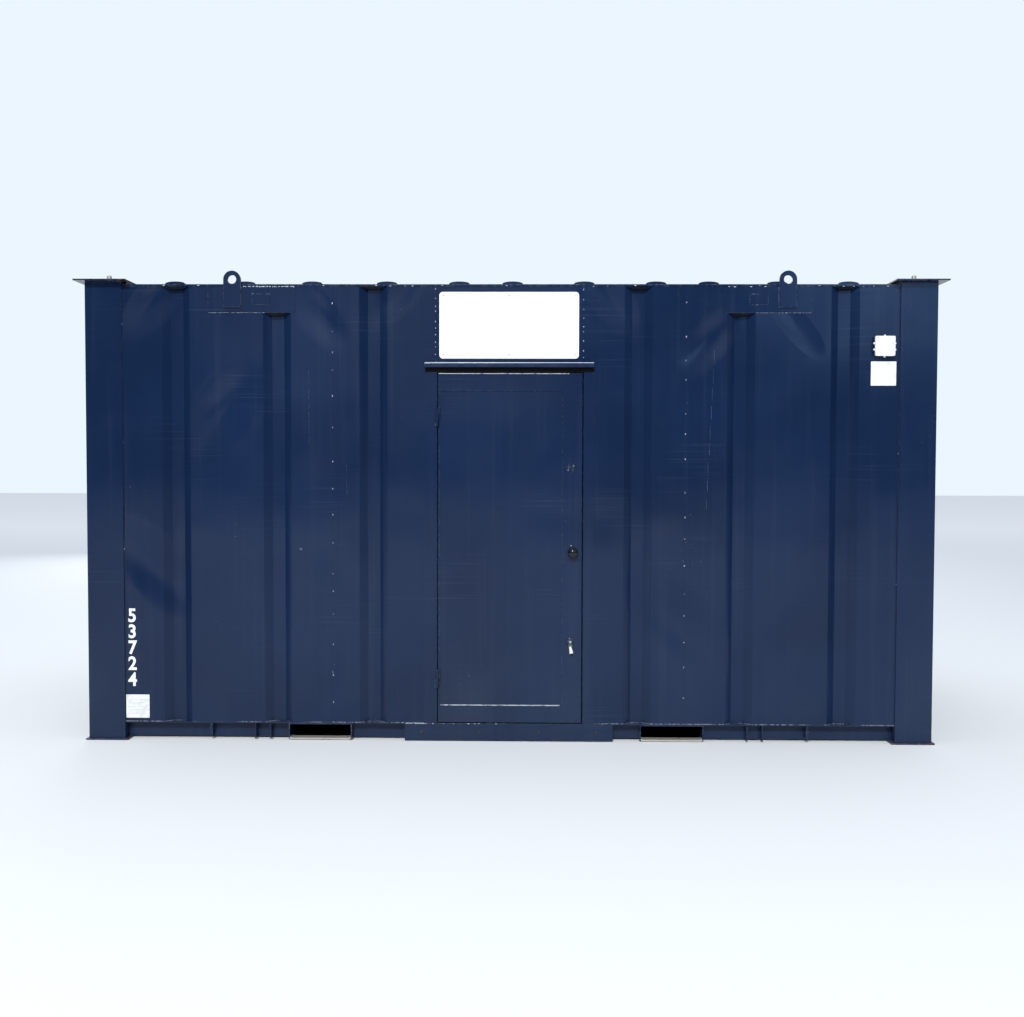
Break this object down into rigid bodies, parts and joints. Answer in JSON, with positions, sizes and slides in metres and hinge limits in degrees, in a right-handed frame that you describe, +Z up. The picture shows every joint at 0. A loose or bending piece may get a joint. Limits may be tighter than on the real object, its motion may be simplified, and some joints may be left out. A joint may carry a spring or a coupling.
{
  "type": "portable site cabin",
  "caption": "Steel site cabin with ribbed walls, an outward-opening door, corner posts with stacking plates, lifting eyes and fork pockets.",
  "frame": {"origin": "centre of the footprint on the ground, midway between the corner posts", "axes": "+X to the right as seen from the front, +Y towards the back, +Z up; the door and the front wall face -Y"},
  "size_m": [4.98, 2.54, 2.7119],
  "materials": {
    "navy_paint": "dark navy gloss paint over folded steel sheet, scratched, with bare steel at edges and welds",
    "worn_steel": "bare steel with light rust and remains of navy paint",
    "floor_timber": "plywood floor boards, worn satin",
    "lining_board": "off-white faced lining board, satin",
    "threshold_metal": "scuffed plain aluminium",
    "white_sign": "white sign board, gloss, plain",
    "inlet_plastic": "white moulded plastic, satin, slightly weathered",
    "plate_metal": "pale painted thin plates, plain, slightly dirty",
    "dark_knob": "dark glossy knob",
    "lock_metal": "plated lock faces and key, dulled, partly painted over"
  },
  "bodies": {
    "cabin": {"foot_plates": "navy_paint", "corner_posts": "navy_paint", "top_plates": "navy_paint", "stacking_pins": "worn_steel", "long_rails": "navy_paint", "end_rails": "navy_paint", "sole_plates": "navy_paint", "floor_joists": "navy_paint", "floor_boards": "floor_timber", "fork_pocket_sides": "navy_paint", "fork_pocket_tops": "navy_paint", "fork_pocket_straps": "worn_steel", "gusset_plates": "navy_paint", "tie_down_lugs": "navy_paint", "front_wall_left": "navy_paint", "front_wall_right": "navy_paint", "over_door_panel": "navy_paint", "back_wall": "navy_paint", "end_walls": "navy_paint", "front_linings": "lining_board", "over_door_lining": "lining_board", "back_lining": "lining_board", "end_linings": "lining_board", "ceiling_board": "lining_board", "top_rails": "navy_paint", "roof_sheet": "navy_paint", "header_plates": "navy_paint", "lifting_eyes": "navy_paint", "cover_plates": "navy_paint", "door_jambs": "navy_paint", "door_head": "navy_paint", "door_stops": "navy_paint", "door_threshold": "threshold_metal", "drip_hood": "navy_paint", "sill_plate": "navy_paint", "frame_hinge_knuckles": "navy_paint", "sign_board": "white_sign", "power_inlet_box": "inlet_plastic", "small_plates": "plate_metal"},
    "door": {"door_leaf": "navy_paint", "door_back_sheet": "navy_paint", "door_hinge_knuckles": "navy_paint", "door_knob": "dark_knob", "lock_escutcheons": "lock_metal", "lock_key_and_tag": "lock_metal"}
  },
  "joints": [
    {"name": "door_hinge", "type": "hinge", "parent": "cabin", "child": "door", "pos_m": [-0.411, -1.222, 0.104], "axis": [0, 0, -1], "range_deg": [0, 170]}
  ]
}
